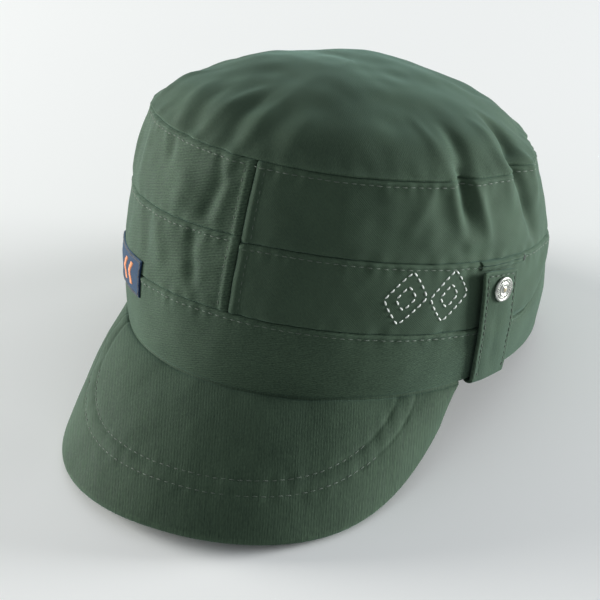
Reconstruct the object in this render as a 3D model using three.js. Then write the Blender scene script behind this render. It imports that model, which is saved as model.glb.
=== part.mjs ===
// A soft cadet cap with a stiff fabric-covered peak, a press-stud tab on the wearer's left
// and a hook-and-loop strap across the half-moon opening at the back.
// Units are millimetres. The cap is drawn upright, front toward -Y and the wearer's
// left toward +X, then pitched back as it rests on a table.
import * as THREE from 'three';

const DEG = Math.PI / 180;
const clamp = THREE.MathUtils.clamp;
const lerp = THREE.MathUtils.lerp;
const smooth = THREE.MathUtils.smoothstep;
const steps = (from, to, count) => Array.from({ length: count + 1 }, (_, i) => lerp(from, to, i / count));

// ---------------------------------------------------------------- driving dimensions

// Four seam levels of the wall. Each is an oval of half width a and half length b, moved
// c along Y, with its height at the front, the side and the back.
const HEM = { a: 84.5, b: 106, c: 0, front: 0, side: 0, back: 0 };
const BAND_SEAM = { a: 88.5, b: 100.5, c: -4, front: 31, side: 23, back: 22 };
const MID_SEAM = { a: 89, b: 93.5, c: -4.5, front: 61, side: 51.5, back: 45 };
const TOP_SEAM = { a: 83.5, b: 80.5, c: -7.5, front: 93.5, side: 88.5, back: 84 };
const LEVELS = [HEM, BAND_SEAM, MID_SEAM, TOP_SEAM];

const CLOTH = 1.2;        // fabric with its lining
const TAPE = 0.6;         // thin tapes and facings
const GAP = 0.3;          // left between pieces that touch
const CROWN_RISE = 27;    // dome above the top seam
const CROWN_POWER = 2.5;  // higher is flatter in the middle

const BAND_SWEEP = [88, 122];  // angles between which the band seam climbs to the mid seam
const ARCH_HALF = 35;          // half-moon opening, half angle at the hem
const ARCH_RISE = 38;          // its height above the hem

const PEAK_END = 68;      // angle at which the peak leaves the hem
const PEAK_REACH = 114;   // its front edge ahead of its two ends
const PEAK_DROP = 47.2;   // its front edge below the hem
const PEAK_BULGE = 6;     // how far its surface arches up between hem and edge
const PEAK_LIP = 1.5;     // turned rim of the top cover
const PEAK_LAYERS = { top: [0, 0.9], board: [1.2, 2.6], under: [2.9, 3.7] };  // depths below the surface
const PEAK_END_OUT = 1.7; // its ends stand this far outside its middle, clear of the sweatband

const TAB_ANGLE = [76.5, 72.8];  // middle of the tab at the hem and at its top
const TAB_WIDTH = 19.5;
const TAB_HEIGHT = 51;
const TAB_SLANT = 0.12;          // the top end slopes down toward the back
const TAB_THICK = 1.8;
const TAB_STANDOFF = [1.6, 3.6]; // gap between wall and tab at the hem and at the stud
const STUD_HEIGHT = 43;
const SNAP_RADIUS = 5.75;

const STRAP_HEIGHTS = [5.5, 23.5];
const STRAP_OUT = 2.6;           // outer face of the hook strap where it crosses the loop strap
const HOOK_ANGLES = [154, 206];
const LOOP_ANGLES = [167, 219];
const PATCH_ANGLES = [169, 204];

const REST_PITCH = 12.75;  // the cap tips back onto the peak's edge and the back of the band

// ---------------------------------------------------------------- materials

const cloth = (color) => new THREE.MeshStandardMaterial({ color, roughness: 0.92, metalness: 0 });
const OLIVE = '#4b5b49';
const olive = () => cloth(OLIVE);
const oliveLight = () => cloth('#55644f');
const navy = () => cloth('#1e2940');
const tapeBlack = () => cloth('#23282a');
const metal = () => new THREE.MeshStandardMaterial({ color: '#b7bab6', roughness: 0.32, metalness: 1 });
const board = () => new THREE.MeshStandardMaterial({ color: '#d8d8d2', roughness: 0.6, metalness: 0 });

// ---------------------------------------------------------------- the wall surface

function levelHeight(level, angle) {
  const { front, side, back } = level;
  const mean = (front + back + 2 * side) / 4;
  const tilt = (front - back) / 2;
  const sag = (front + back - 2 * side) / 4;
  return mean + tilt * Math.cos(angle * DEG) + sag * Math.cos(2 * angle * DEG);
}

// A point of the wall at an angle from the front and a height, moved out by offset.
function wall(angle, height, offset = 0) {
  let i = 0;
  while (i < 2 && height > levelHeight(LEVELS[i + 1], angle)) i++;
  const low = levelHeight(LEVELS[i], angle);
  const high = levelHeight(LEVELS[i + 1], angle);
  const f = (height - low) / (high - low);
  const a = lerp(LEVELS[i].a, LEVELS[i + 1].a, f);
  const b = lerp(LEVELS[i].b, LEVELS[i + 1].b, f);
  const c = lerp(LEVELS[i].c, LEVELS[i + 1].c, f);
  const s = Math.sin(angle * DEG);
  const t = Math.cos(angle * DEG);
  const out = wallNormal(angle, a, b).multiplyScalar(offset);
  return new THREE.Vector3(a * s, c - b * t, height).add(out);
}

function wallNormal(angle, a = MID_SEAM.a, b = MID_SEAM.b) {
  return new THREE.Vector3(Math.sin(angle * DEG) / a, -Math.cos(angle * DEG) / b, 0).normalize();
}

function bandTop(angle) {
  const climb = smooth(Math.abs(angle), BAND_SWEEP[0], BAND_SWEEP[1]);
  return lerp(levelHeight(BAND_SEAM, angle), levelHeight(MID_SEAM, angle), climb);
}

// ---------------------------------------------------------------- building blocks

// A closed slab: a box whose grid of us by vs, two layers thick, is laid where place says.
// w is 0 on the inner layer and 1 on the outer one.
function slab(us, vs, place) {
  const geometry = new THREE.BoxGeometry(1, 1, 1, us.length - 1, vs.length - 1, 1);
  const position = geometry.attributes.position;
  for (let i = 0; i < position.count; i++) {
    const u = us[Math.round((position.getX(i) + 0.5) * (us.length - 1))];
    const v = vs[Math.round((position.getY(i) + 0.5) * (vs.length - 1))];
    const p = place(u, v, position.getZ(i) + 0.5);
    position.setXYZ(i, p.x, p.y, p.z);
  }
  geometry.computeVertexNormals();
  return geometry;
}

// A closed ring or dome: a lathe whose points (radius, height) are laid where place says.
function round(profile, segments, place) {
  const geometry = new THREE.LatheGeometry(profile.map(([r, y]) => new THREE.Vector2(r, y)), segments);
  const position = geometry.attributes.position;
  for (let i = 0; i < position.count; i++) {
    const x = position.getX(i);
    const z = position.getZ(i);
    const p = place(Math.atan2(x, z) / DEG, Math.hypot(x, z), position.getY(i));
    position.setXYZ(i, p.x, p.y, p.z);
  }
  geometry.computeVertexNormals();
  return geometry;
}

// A strip of the wall between two heights, which may change with the angle.
function wallStrip(angles, rows, low, high, inner, outer) {
  return slab(angles, steps(0, 1, rows), (angle, v, w) =>
    wall(angle, lerp(low(angle), high(angle), v), lerp(inner, outer, w)));
}

function mesh(name, geometry, material) {
  const m = new THREE.Mesh(geometry, material);
  m.name = name;
  return m;
}

const cap = new THREE.Group();
cap.name = 'cap_upright';
const SIDES = [['left', 1], ['right', -1]];
const mirrored = (angles, sign) => (sign > 0 ? angles : angles.map((a) => -a).reverse());

// ---------------------------------------------------------------- crown and tiers

function crownTop() {
  const rim = [0, 0.3, 0.55, 0.75, 0.9, 1];
  const inner = rim.map((r) => [r, 0]);
  const outer = rim.slice().reverse().map((r) => [r, 1]);
  const { a, b, c, front, side, back } = TOP_SEAM;
  const mean = (front + back + 2 * side) / 4;
  const thick = CLOTH * 1.2;
  return round([...inner, ...outer], 40, (angle, r, w) => new THREE.Vector3(
    a * r * Math.sin(angle * DEG),
    c - b * r * Math.cos(angle * DEG),
    lerp(mean, levelHeight(TOP_SEAM, angle), r) + CROWN_RISE * (1 - r ** CROWN_POWER) - (1 - w) * thick,
  ));
}
cap.add(mesh('crown_top', crownTop(), olive()));

const topEdge = (angle) => levelHeight(TOP_SEAM, angle) - CLOTH * 1.2 - GAP;

function crownSeamTape() {
  const profile = [[11, 0], [11, 1], [10, 1], [10, 0], [11, 0]];
  return round(profile, 40, (angle, r, v) =>
    wall(angle, topEdge(angle) - lerp(8, 0.5, v), lerp(-CLOTH - GAP - TAPE, -CLOTH - GAP, r - 10)));
}
cap.add(mesh('crown_seam_tape', crownSeamTape(), tapeBlack()));

// The mid panels stop one step before the sweep meets the seam above them.
const SEAM_HALF = 0.1;  // half the gap between two panels, in degrees
const frontAngles = steps(0, BAND_SWEEP[0], 11);
const sweepAngles = steps(...BAND_SWEEP, 6);
for (const [side, sign] of SIDES) {
  const upper = mirrored(steps(SEAM_HALF, 180 - SEAM_HALF, 24), sign);
  cap.add(mesh(`upper_${side}_panel`, wallStrip(upper, 3,
    (a) => levelHeight(MID_SEAM, a) + GAP / 2, topEdge, -CLOTH, 0), olive()));
  const mid = mirrored([SEAM_HALF, ...frontAngles.slice(1), ...sweepAngles.slice(1, -1)], sign);
  cap.add(mesh(`mid_${side}_panel`, wallStrip(mid, 2,
    (a) => bandTop(a) + GAP / 2, (a) => levelHeight(MID_SEAM, a) - GAP / 2, -CLOTH, 0), oliveLight()));
}

const TAPE_FACES = [-CLOTH - GAP - TAPE, -CLOTH - GAP];
const TAPE_HALF = 3.4;  // degrees
cap.add(mesh('front_seam_tape', wallStrip(steps(-TAPE_HALF, TAPE_HALF, 2), 4,
  (a) => levelHeight(BAND_SEAM, a) + 3, (a) => topEdge(a) - 9, ...TAPE_FACES), tapeBlack()));
cap.add(mesh('back_seam_tape', wallStrip(steps(180 - TAPE_HALF, 180 + TAPE_HALF, 2), 2,
  (a) => levelHeight(MID_SEAM, a) + 3, (a) => topEdge(a) - 9, ...TAPE_FACES), tapeBlack()));

// ---------------------------------------------------------------- band

// Lower edge of the band: flat on the hem, then up over the half-moon opening.
function bandBottom(angle) {
  const across = (180 - Math.abs(angle)) / ARCH_HALF;
  return across < 1 ? ARCH_RISE * Math.sqrt(1 - across * across) : 0;
}
const archAngle = (phi) => 180 - ARCH_HALF * Math.cos(phi * DEG);

function bandAngles() {
  const half = [
    ...frontAngles,
    ...sweepAngles.slice(1),
    ...steps(BAND_SWEEP[1], 180 - ARCH_HALF, 3).slice(1),
    ...[12, 25, 40, 57, 75].map(archAngle),
    180 - SEAM_HALF,
  ];
  return [...half.slice(1).map((a) => -a).reverse(), ...half];
}
cap.add(mesh('lower_band', wallStrip(bandAngles(), 3,
  bandBottom, (a) => bandTop(a) - GAP / 2, -CLOTH, 0), olive()));

const ARCH_FACING = 6;
cap.add(mesh('arch_facing', slab(steps(42, 138, 12), [0, 1], (phi, v, w) => {
  const grow = 1 + (v * ARCH_FACING) / ARCH_RISE;
  const angle = 180 - ARCH_HALF * grow * Math.cos(phi * DEG);
  return wall(angle, ARCH_RISE * grow * Math.sin(phi * DEG), lerp(...TAPE_FACES, w) - 2 * GAP);
}), olive()));

cap.add(mesh('band_stiffener', wallStrip(steps(-58, 58, 14), 1,
  () => 3, () => 21, ...TAPE_FACES), board()));

const SWEAT_OUTER = TAPE_FACES[0] - GAP;
cap.add(mesh('sweatband', wallStrip(steps(-139, 139, 32), 2,
  () => 0.5, () => 27, SWEAT_OUTER - 1, SWEAT_OUTER), oliveLight()));

// ---------------------------------------------------------------- peak

function peakEdge(phi) {
  const s = Math.sin(phi * DEG);
  const c = Math.abs(Math.cos(phi * DEG));
  const fullness = 1 + 0.07 * Math.sin(2 * phi * DEG) ** 2;
  return new THREE.Vector3(
    Math.sign(s) * Math.abs(s) ** 0.88 * HEM.a * Math.sin(PEAK_END * DEG) * fullness,
    -HEM.b * Math.cos(PEAK_END * DEG) - PEAK_REACH * c ** 0.88,
    -PEAK_DROP * (1 - (Math.abs(phi) / 90) ** 4) ** 0.7,
  );
}

const peakRoot = (phi) =>
  wall(PEAK_END * Math.sin(phi * DEG), 0, PEAK_END_OUT * (phi / 90) ** 2 - GAP).setZ(-GAP);
const peakLength = (phi) => peakEdge(phi).distanceTo(peakRoot(phi));

function peakSurface(phi, t) {
  const p = peakRoot(phi).lerp(peakEdge(phi), t);
  p.z += PEAK_BULGE * 4 * t * (1 - t) * Math.min(peakLength(phi) / 60, 1);
  return p;
}

// A point at a depth below the peak's surface.
function peakPoint(phi, t, depth) {
  const along = peakSurface(phi, t + 0.01).sub(peakSurface(phi, t - 0.01));
  const across = peakSurface(phi + 0.3, t).sub(peakSurface(phi - 0.3, t));
  return peakSurface(phi, t).addScaledVector(along.cross(across).normalize(), -depth);
}

// phi runs to nearly 90 degrees, where the peak meets the hem, with closer steps near its ends.
const peakAngles = steps(1, -1, 22).map((s) => 84 * (1.25 * s - 0.25 * s ** 3));
const peakRows = steps(0, 1, 5);

function peakTopCover() {
  const [face, back] = PEAK_LAYERS.top;
  return slab(peakAngles, [...peakRows, 2], (phi, v, w) => {
    const rim = v > 1;
    const t = rim ? 1 : v * (1 - PEAK_LIP / peakLength(phi));
    const depth = rim ? PEAK_LAYERS.board[1] : back;
    return peakPoint(phi, t, lerp(depth, face, w));
  });
}

function peakLayer([face, back], angles, inset, start) {
  return slab(angles, peakRows, (phi, v, w) =>
    peakPoint(phi, Math.max(start, v * (1 - inset / peakLength(phi))), lerp(back, face, w)));
}
cap.add(mesh('peak_top_cover', peakTopCover(), olive()));
cap.add(mesh('peak_board', peakLayer(PEAK_LAYERS.board, peakAngles.slice(2, -2), PEAK_LIP + 1.1, 0.03), board()));
cap.add(mesh('peak_underside', peakLayer(PEAK_LAYERS.under, peakAngles.slice(2, -2), 0, 0), olive()));

// ---------------------------------------------------------------- label

cap.add(mesh('front_label', wallStrip(steps(-62, -34.5, 6), 4,
  (a) => levelHeight(BAND_SEAM, a) - 9.6, (a) => levelHeight(BAND_SEAM, a) + 6.2, GAP, GAP + TAPE), navy()));

// ---------------------------------------------------------------- side tab with its press stud

const tabMiddle = (height) => lerp(TAB_ANGLE[0], TAB_ANGLE[1], height / TAB_HEIGHT);
const tabOffset = (height) => lerp(TAB_STANDOFF[0], TAB_STANDOFF[1], clamp(height / STUD_HEIGHT, 0, 1));
const MM_PER_DEGREE = 1.62;

function sideTab() {
  const across = steps(-TAB_WIDTH / 2, TAB_WIDTH / 2, 2);
  return slab(across, steps(0, 1, 8), (u, v, w) => {
    const height = lerp(0.6, TAB_HEIGHT - TAB_SLANT * u, v);
    const angle = tabMiddle(height) + u / MM_PER_DEGREE;
    return wall(angle, height, tabOffset(height) + w * TAB_THICK);
  });
}

// A disc or ring turned about Y, laid against the wall at the stud with its foot at offset.
function snapPiece(name, offset, profile) {
  const points = profile.map(([r, y]) => new THREE.Vector2(r, y));
  const piece = mesh(name, new THREE.LatheGeometry(points, 20), metal());
  const angle = tabMiddle(STUD_HEIGHT);
  piece.position.copy(wall(angle, STUD_HEIGHT, offset));
  piece.quaternion.setFromUnitVectors(new THREE.Vector3(0, 1, 0), wallNormal(angle));
  return piece;
}

const STUD_FOOT = 0.45;
const TAB_INNER = TAB_STANDOFF[1];
const TAB_OUTER = TAB_INNER + TAB_THICK;
cap.add(mesh('tab_left', sideTab(), olive()));
cap.add(mesh('tab_welt_left', wallStrip(steps(68, 86, 4), 1,
  (a) => levelHeight(MID_SEAM, a) - 2.7, (a) => levelHeight(MID_SEAM, a) - 0.6, GAP, GAP + 1), olive()));
cap.add(snapPiece('snap_stud_left', STUD_FOOT,
  [[0, 0], [4.5, 0], [4.5, 0.7], [1.7, 0.9], [2, 1.7], [1.6, 2.1], [0, 2.1]]));
cap.add(snapPiece('snap_washer_left', -CLOTH - STUD_FOOT - 0.8,
  [[1.2, 0], [4.5, 0], [4.5, 0.8], [1.2, 0.8], [1.2, 0]]));
cap.add(snapPiece('snap_socket_left', TAB_INNER - STUD_FOOT - 1.4,
  [[2.5, 0], [4.6, 0], [5, 0.4], [5, 1.4], [2.5, 1.4], [2.5, 0]]));
cap.add(snapPiece('snap_cap_left', TAB_OUTER + STUD_FOOT,
  [[0, 0], [SNAP_RADIUS, 0], [SNAP_RADIUS, 0.9], [4.9, 1.5], [3.9, 1.3], [3.5, 1.6], [0, 2]]));

// ---------------------------------------------------------------- strap across the opening

const strapLow = () => STRAP_HEIGHTS[0];
const strapHigh = () => STRAP_HEIGHTS[1];
const patchLow = () => STRAP_HEIGHTS[0] + 1.5;
const patchHigh = () => STRAP_HEIGHTS[1] - 1.5;
const LOOP_OUTER = -CLOTH - GAP;

cap.add(mesh('loop_strap', wallStrip(steps(...LOOP_ANGLES, 9), 1,
  strapLow, strapHigh, LOOP_OUTER - CLOTH, LOOP_OUTER), olive()));
cap.add(mesh('loop_patch', wallStrip(steps(...PATCH_ANGLES, 7), 1,
  patchLow, patchHigh, LOOP_OUTER + GAP, LOOP_OUTER + GAP + 1), tapeBlack()));
cap.add(mesh('hook_patch', wallStrip(steps(...PATCH_ANGLES, 7), 1,
  patchLow, patchHigh, STRAP_OUT - CLOTH - GAP - 1, STRAP_OUT - CLOTH - GAP), tapeBlack()));

// The hook strap leaves the wall at its sewn end and climbs to lie over the loop strap.
cap.add(mesh('hook_strap', slab(steps(...HOOK_ANGLES, 10), [0, 1], (angle, v, w) => {
  const outer = lerp(LOOP_OUTER, STRAP_OUT, smooth(angle, HOOK_ANGLES[0], LOOP_ANGLES[0] - 2));
  return wall(angle, lerp(...STRAP_HEIGHTS, v), outer - (1 - w) * CLOTH);
}), olive()));

// ---------------------------------------------------------------- at rest on a table

cap.rotation.x = -REST_PITCH * DEG;
cap.updateMatrixWorld(true);
const bounds = new THREE.Box3().setFromObject(cap, true);
const centre = bounds.getCenter(new THREE.Vector3());
cap.position.set(-centre.x, -centre.y, -bounds.min.z);

const group = new THREE.Group();
group.add(cap);
export default group;
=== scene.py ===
"""Visual model of a soft olive cadet cap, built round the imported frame.

Shapes are worked out in millimetres on the cap as drawn upright, front toward -Y and the
wearer's left toward +X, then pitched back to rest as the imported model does.
"""
import math

import bmesh
import bpy
import numpy as np
from mathutils import Matrix, Vector


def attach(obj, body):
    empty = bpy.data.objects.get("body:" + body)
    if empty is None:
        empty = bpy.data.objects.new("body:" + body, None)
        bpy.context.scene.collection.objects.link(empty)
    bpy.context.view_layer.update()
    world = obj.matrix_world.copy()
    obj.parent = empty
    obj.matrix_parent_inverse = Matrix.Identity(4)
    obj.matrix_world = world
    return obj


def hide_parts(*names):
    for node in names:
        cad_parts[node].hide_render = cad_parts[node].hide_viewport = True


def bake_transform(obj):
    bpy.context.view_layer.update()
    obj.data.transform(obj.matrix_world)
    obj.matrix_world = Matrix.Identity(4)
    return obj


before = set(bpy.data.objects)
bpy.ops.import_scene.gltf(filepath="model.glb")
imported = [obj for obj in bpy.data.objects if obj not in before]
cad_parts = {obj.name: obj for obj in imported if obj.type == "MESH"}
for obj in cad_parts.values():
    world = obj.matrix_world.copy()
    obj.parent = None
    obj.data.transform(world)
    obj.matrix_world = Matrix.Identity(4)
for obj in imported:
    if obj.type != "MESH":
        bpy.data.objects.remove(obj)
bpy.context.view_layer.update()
MM = 0.001

# ---- camera

AIM = Vector((-4.69, 0.31, 39.0)) * MM
VIEW_AZIMUTH = math.radians(28.39)
VIEW_ELEVATION = math.radians(32.72)
VIEW_ROLL = math.radians(-1.10)
VIEW_DISTANCE = 1.3681
LENS = 191.31


def direction(azimuth, elevation):
    """Unit vector from the object toward a point at an azimuth from the front."""
    flat = math.cos(elevation)
    return Vector((math.sin(azimuth) * flat, -math.cos(azimuth) * flat, math.sin(elevation)))


def add_camera():
    data = bpy.data.cameras.new("camera")
    data.lens = LENS
    data.sensor_width = 36
    back = direction(VIEW_AZIMUTH, VIEW_ELEVATION)
    level = Vector((math.cos(VIEW_AZIMUTH), math.sin(VIEW_AZIMUTH), 0))
    up = back.cross(level)
    right = level * math.cos(VIEW_ROLL) + up * math.sin(VIEW_ROLL)
    up = back.cross(right)
    camera = bpy.data.objects.new("camera", data)
    place = Matrix((right, up, back)).transposed().to_4x4()
    place.translation = AIM + back * VIEW_DISTANCE
    camera.matrix_world = place
    bpy.context.scene.collection.objects.link(camera)
    bpy.context.scene.camera = camera


add_camera()

# ---- driving dimensions, as in the CAD

# Hem, band seam, mid seam, top seam: half width, half length, shift along Y, then the
# height at the front, side and back.
LEVELS = np.array([
    [84.5, 106.0, 0.0, 0.0, 0.0, 0.0],
    [88.5, 100.5, -4.0, 31.0, 23.0, 22.0],
    [89.0, 93.5, -4.5, 61.0, 51.5, 45.0],
    [83.5, 80.5, -7.5, 93.5, 88.5, 84.0],
])
HEM, BAND_SEAM, MID_SEAM, TOP_SEAM = range(4)
CLOTH = 1.2
TAPE = 0.6
GAP = 0.3
CROWN_RISE = 27.0
CROWN_POWER = 2.5
SWEEP = (88.0, 122.0)
ARCH_HALF = 35.0
ARCH_RISE = 38.0
PEAK_END = 68.0
PEAK_REACH = 114.0
PEAK_DROP = 47.2
PEAK_BULGE = 6.0
PEAK_THICK = 3.7
PEAK_END_OUT = 1.7
TAB_ANGLE = (76.5, 72.8)
TAB_WIDTH = 19.5
TAB_HEIGHT = 51.0
TAB_SLANT = 0.12
TAB_THICK = 1.8
TAB_STANDOFF = (1.6, 3.6)
STUD_HEIGHT = 43.0
STRAP_HEIGHTS = (5.5, 23.5)
STRAP_OUT = 2.6
HOOK_ANGLES = (154.0, 206.0)
LOOP_ANGLES = (167.0, 219.0)
PATCH_ANGLES = (169.0, 204.0)
REST_PITCH = math.radians(-12.75)
REST_SHIFT = np.array([-2.273787, 27.757778, 19.163184])

# Lengths along the cloth: millimetres to one degree round the sides, at the front and back
# seams, and round the top seam, and the distance from the top seam to the crown's middle.
MM_PER_DEGREE = 1.62
SEAM_MM = 1.72
TOP_MM = 1.45
FOLD_MM = 1.5
CROWN_SLOPE = 82.0

SIDES = (("left", 1), ("right", -1))


def to_frame(points):
    """Upright millimetres to the frame's metres."""
    p = np.asarray(points, float)
    c, s = math.cos(REST_PITCH), math.sin(REST_PITCH)
    out = np.stack([p[..., 0], p[..., 1] * c - p[..., 2] * s, p[..., 1] * s + p[..., 2] * c], -1)
    return (out + REST_SHIFT) * MM


def nothing(deg, height=0.0):
    return 0 * deg


def lerp(a, b, t):
    return a + (b - a) * t


def smooth(x, low, high):
    t = np.clip((x - low) / (high - low), 0, 1)
    return t * t * (3 - 2 * t)


def bump(x, centre, width):
    return np.exp(-((x - centre) / width) ** 2)


def unit(v):
    return v / np.maximum(np.linalg.norm(v, axis=-1, keepdims=True), 1e-12)


def level_mean(level):
    front, side, back = LEVELS[level, 3:]
    return (front + back + 2 * side) / 4


def level_height(level, deg):
    front, side, back = LEVELS[level, 3:]
    sag = (front + back - 2 * side) / 4
    turn = np.radians(deg)
    return level_mean(level) + (front - back) / 2 * np.cos(turn) + sag * np.cos(2 * turn)


def wall_normal(deg, a=LEVELS[MID_SEAM, 0], b=LEVELS[MID_SEAM, 1]):
    turn = np.radians(deg)
    n = np.stack([np.sin(turn) / a, -np.cos(turn) / b, 0 * turn], -1)
    return unit(n)


def wall(deg, height, offset=0.0):
    """A point of the wall at an angle from the front and a height, moved out by offset."""
    deg, height, offset = np.broadcast_arrays(np.asarray(deg, float), height, offset)
    seam = [level_height(i, deg) for i in range(4)]
    tier = (height > seam[BAND_SEAM]).astype(int) + (height > seam[MID_SEAM])
    low = np.choose(tier, seam[:3])
    high = np.choose(tier, seam[1:])
    f = (height - low) / (high - low)
    a, b, c = (lerp(LEVELS[tier, k], LEVELS[tier + 1, k], f) for k in range(3))
    turn = np.radians(deg)
    flat = np.stack([a * np.sin(turn), c - b * np.cos(turn), height], -1)
    return flat + wall_normal(deg, a, b) * offset[..., None]


def mid_seam(deg):
    """The mid seam, whose halves don't quite meet at the centre front."""
    return level_height(MID_SEAM, deg) - 1.25 * np.sign(deg) * np.exp(-np.abs(deg) / 8)


def band_top(deg):
    climb = smooth(np.abs(deg), *SWEEP)
    return lerp(level_height(BAND_SEAM, deg), level_height(MID_SEAM, deg), climb)


def band_bottom(deg):
    across = np.minimum((180 - np.abs(deg)) / ARCH_HALF, 1)
    return ARCH_RISE * np.sqrt(np.maximum(1 - across ** 2, 0))


# ---- cloth relief

def waves(x, y, length, seed, count=12):
    """Smooth seeded unevenness, about -1 to 1, with features about one length across."""
    rng = np.random.default_rng(seed)
    total = 0.0
    for _ in range(count):
        heading = rng.uniform(0, 2 * math.pi)
        pitch = 2 * math.pi / (length * rng.uniform(0.7, 1.6))
        phase = rng.uniform(0, 2 * math.pi)
        total = total + np.cos(pitch * (x * math.cos(heading) + y * math.sin(heading)) + phase)
    return total / math.sqrt(count)


# Soft folds near the top seam: angle and height above the seam at each end, half width
# and depth in millimetres. Positive depth stands out, negative sinks in.
FOLDS = [
    (-8.2, 1, -8.6, -11, 3.0, 0.9), (-11.4, -2, -9.8, -12, 3.0, -0.7), (-9.4, -11, -15, -38, 3.5, -1.6),
    (-6.6, -10, -9.0, -34, 3.0, 0.6),
    (-21, -10, -24, -34, 6.5, 1.0), (-16, -34, -11.5, -60, 3.2, -2.1), (-33, -1, -31, -13, 3.4, -1.0),
    (-48, -6, -44, -40, 4.5, 0.9), (-30, -36, -24, -58, 4.0, 1.0), (-36, -30, -33, -60, 3.6, -0.9),
    (-25, -1, -36, 24, 5.0, -1.0), (-22.5, 0, -21.5, 34, 4.6, 0.7), (-11.8, -1, -15.5, 34, 5.0, -1.0),
    (-6.2, 0, -5.2, 34, 4.5, 0.6), (0.5, 4, 1.5, 30, 6.0, -0.6), (-32, 0, -47, 24, 4.6, 0.8),
    (-58, 2, -72, 22, 4.5, 1.0), (8, 5, 12, 26, 6.0, 0.8),
    (57, -2, 54, 30, 4.4, 0.8), (62.4, -3, 66, 24, 5.0, -2.4), (60.8, 4, 64.2, -22, 3.4, -3.4),
    (56.6, 1, 61.6, -26, 3.0, 0.9), (65.4, -1, 71.0, -28, 3.0, 1.8), (78.5, 6, 81, -16, 4.2, 1.3),
    (85.8, -3, 98, 23, 5.2, -4.6), (85.6, 4, 94.4, -34, 4.0, -4.0), (79, 3, 84, 24, 4.4, 0.8),
    (95.8, 4, 97.0, -18, 3.6, 1.4), (53.5, -5, 57.5, -25, 6.0, -1.0),
    (53, 2, 44.5, -23, 3.6, 0.9), (62, -27, 71, -25, 3.0, 0.8), (48, -10, 40, -30, 7.0, -0.7),
    (30, -8, 24, -34, 7.0, 0.8), (122, 0, 118, -26, 4.0, -1.3),
    (147, -3, 143, 20, 5.0, 0.6), (158, -4, 152, -30, 5.0, -1.2), (170, 0, 166, 26, 4.0, -1.1),
    (-170, -2, -174, 24, 4.4, 1.1), (-158, -2, -150, -30, 4.0, -1.3), (-146, 0, -140, 26, 4.4, -1.3),
    (-128, -4, -122, -28, 4.0, 1.3), (-116, 0, -110, 26, 4.0, -1.6), (-104, -2, -98, -30, 3.4, 1.2),
    (-92, 0, -84, 28, 4.2, -1.4), (-80, -4, -86, -32, 4.0, -1.2), (-70, 6, -64, 28, 4.0, 0.5),
    (-62, -6, -58, -36, 4.0, 1.0),
]
# Broad dents and swellings: angle, height above the seam, size and depth.
DENTS = [
    (-122, 17, 32, -4.4), (-82, 10, 19, -2.8), (112, 19, 24, -2.8), (141, 20, 20, -2.6),
    (122, -3, 18, -2.6), (20, 40, 30, 1.0),
]


def signed(deg):
    """The same angle between -180 and 180."""
    return (deg + 180) % 360 - 180


def folds(deg, rise):
    """Folds of the soft top at an angle and a height above the top seam."""
    total = 0.0
    for d0, r0, d1, r1, width, depth in FOLDS:
        x, y = signed(deg - d0) * FOLD_MM, rise - r0
        ex, ey = (d1 - d0) * FOLD_MM, r1 - r0
        length2 = ex * ex + ey * ey
        along = (x * ex + y * ey) / length2
        side = np.abs(x * ey - y * ex) / math.sqrt(length2)
        ends = smooth(along, -0.18, 0.22) * (1 - smooth(along, 0.55, 1.15))
        total = total + depth * ends * np.exp(-(side / width) ** 2)
    for d0, r0, size, depth in DENTS:
        away = (signed(deg - d0) * TOP_MM) ** 2 + (rise - r0) ** 2
        total = total + depth * np.exp(-away / size ** 2)
    return total


# How far in a seam edge curls, and how far from the edge its stitches and its rolled groove run.
CURL = 0.95
STITCH_IN = 2.3
ROLL_GROOVE = 2.7
FRONT_STITCH = 5.2
SEAM_GAP = 0.05
TOP_DROP = 1.0


def curl(distance, radius=CURL, depth=1.05):
    """A cloth edge turned in at a seam."""
    t = 1 - np.clip(distance / radius, 0, 1)
    return -depth * (1 - np.sqrt(np.maximum(1 - t * t, 0)))


def seam_below(distance, along, seed):
    """Relief of a panel below a seam, where its allowance is stitched down."""
    ridge = 0.4 * (smooth(distance, 0.2, 1.1) - smooth(distance, 2.0, 3.6))
    channel = -0.32 * bump(distance, STITCH_IN, 0.55)
    pucker = 0.2 * waves(along, 0 * along, 6.5, seed, 8) * bump(distance, STITCH_IN, 3.2)
    return ridge + channel + pucker


def seam_above(distance, along, seed):
    """Puckers of a panel that stands on a seam."""
    return 0.18 * waves(along, 0 * along, 7.5, seed, 8) * bump(distance, 1.0, 3.0)


def uneven(along, height, seed):
    return 0.3 * waves(along, height, 30, seed) + 0.1 * waves(along, height, 11, seed + 1)


def front_seam(deg):
    """Relief beside the centre front and centre back seams."""
    side = np.minimum(np.abs(deg), 180 - np.abs(deg)) * SEAM_MM
    swell = 0.75 * bump(side, 3.0, 2.0)
    channel = -0.35 * bump(side, FRONT_STITCH, 0.6)
    return curl(side, 1.7, 1.5) + swell + channel


def soft_top(deg, height):
    """Folds and unevenness of the upper tier, held flat at its lower seam."""
    above = height - mid_seam(deg)
    rise = height - level_height(TOP_SEAM, deg) + TOP_DROP
    soft = folds(deg, rise) + uneven(deg * MM_PER_DEGREE, height, 13)
    return soft * lerp(0.25, 1.0, smooth(above, 0, 7))


def arched(above, below):
    """1 halfway up a panel and 0 at its seams."""
    return np.sin(np.pi * np.clip(above / (above + below), 0, 1))


def upper_relief(deg, height):
    below = level_height(TOP_SEAM, deg) - TOP_DROP - height
    above = height - mid_seam(deg) - SEAM_GAP
    along = deg * MM_PER_DEGREE
    shape = curl(below) + curl(above) + seam_below(below, along, 11) + seam_above(above, along, 12)
    return shape + arched(above, below) + soft_top(deg, height) + front_seam(deg)


def sweep_edge(deg):
    """1 behind the tab, where the band ends in a narrow rolled edge."""
    return smooth(np.abs(deg), 78, 83)


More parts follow.
